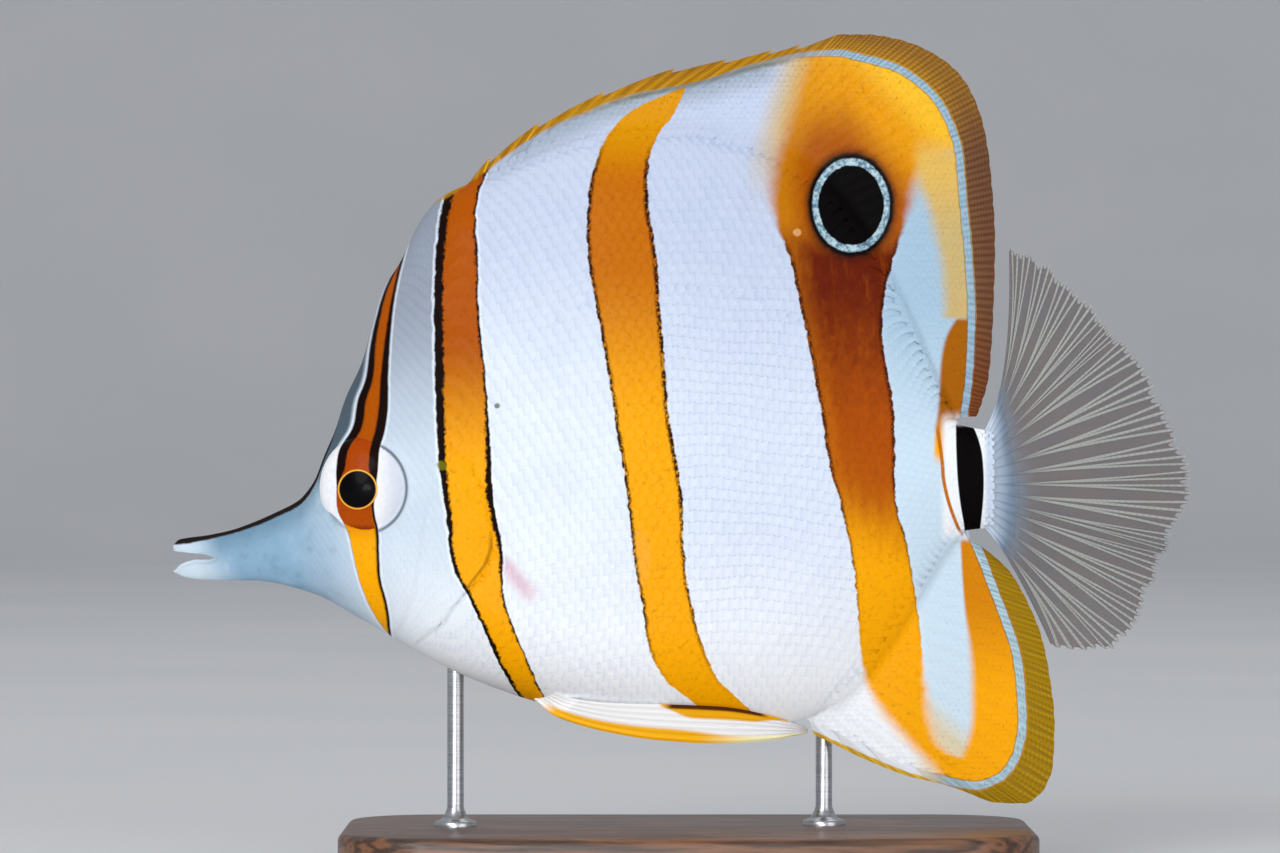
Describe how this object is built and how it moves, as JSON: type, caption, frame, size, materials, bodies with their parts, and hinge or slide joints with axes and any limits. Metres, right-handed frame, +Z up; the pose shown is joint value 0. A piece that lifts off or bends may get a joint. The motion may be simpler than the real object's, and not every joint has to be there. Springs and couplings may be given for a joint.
{
  "type": "copperband butterflyfish",
  "caption": "Still, life-size copperband butterflyfish with a long tweezer snout, tall fins, upright orange bands and a false eye, held by short rods on a flat display base.",
  "frame": {"origin": "on the floor under the middle of the whole model's box", "axes": "+X towards the tail and along the fish's length, -X is where it faces, -Y is the fish's left side, +Z up"},
  "size_m": [0.1552, 0.06, 0.1255],
  "materials": {
    "body_skin": "pale lavender scaled skin with orange bands edged in black brown, moist sheen",
    "banded_fin": "scaled fin base and rayed margin, white, orange, yellow and pale blue",
    "clear_fin": "thin see-through membrane with fine pale rays",
    "eye": "wet clear eye, black pupil, orange and white iris",
    "stand_wood": "dark satin wood",
    "stand_rod": "fine brushed"
  },
  "bodies": {
    "root": {"head": "body_skin", "snout": "body_skin", "upper_jaw": "body_skin", "lower_jaw": "body_skin", "gill_cover_left": "body_skin", "gill_cover_right": "body_skin", "trunk": "body_skin", "tail_base": "body_skin", "eye_left": "eye", "eye_right": "eye", "dorsal_fin_spines": "banded_fin", "dorsal_fin_soft": "banded_fin", "anal_fin": "banded_fin", "caudal_fin": "clear_fin", "pectoral_fin_left": "clear_fin", "pectoral_fin_right": "clear_fin", "pelvic_fin_left": "banded_fin", "pelvic_fin_right": "banded_fin", "stand_base": "stand_wood", "stand_rod_front": "stand_rod", "stand_rod_rear": "stand_rod"}
  },
  "joints": []
}
